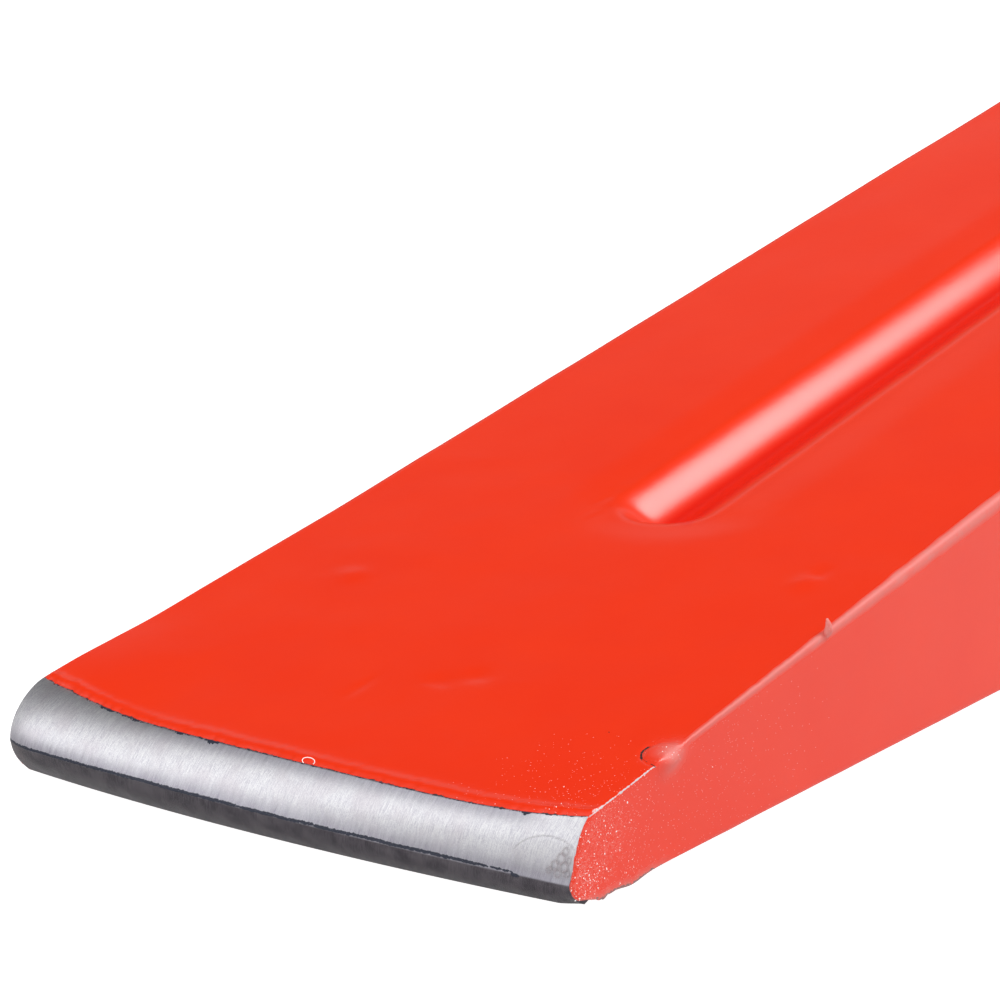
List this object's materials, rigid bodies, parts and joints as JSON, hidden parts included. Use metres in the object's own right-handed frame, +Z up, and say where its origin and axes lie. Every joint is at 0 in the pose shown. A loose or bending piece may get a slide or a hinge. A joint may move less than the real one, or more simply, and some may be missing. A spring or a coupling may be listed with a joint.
{
  "type": "splitting wedge",
  "caption": "Solid forged steel splitting wedge, painted red, with a central groove in each wide face, a bare ground nose and a chamfered striking face.",
  "frame": {"origin": "on the surface that the lower wide face rests on, under the middle of the whole object's box", "axes": "+X along the wedge from the ground nose to the striking head, +Y across its width to the left side, +Z up from the lower wide face"},
  "size_m": [0.234, 0.05, 0.0457],
  "materials": {
    "forged_steel": "ground bare steel, finely scratched",
    "red_paint": "satin red enamel over a forged surface",
    "clear_lacquer": "thin clear rust-proofing lacquer"
  },
  "bodies": {
    "root": {"wedge_forging": "forged_steel", "paint_coat": "red_paint", "edge_lacquer": "clear_lacquer"}
  },
  "joints": []
}
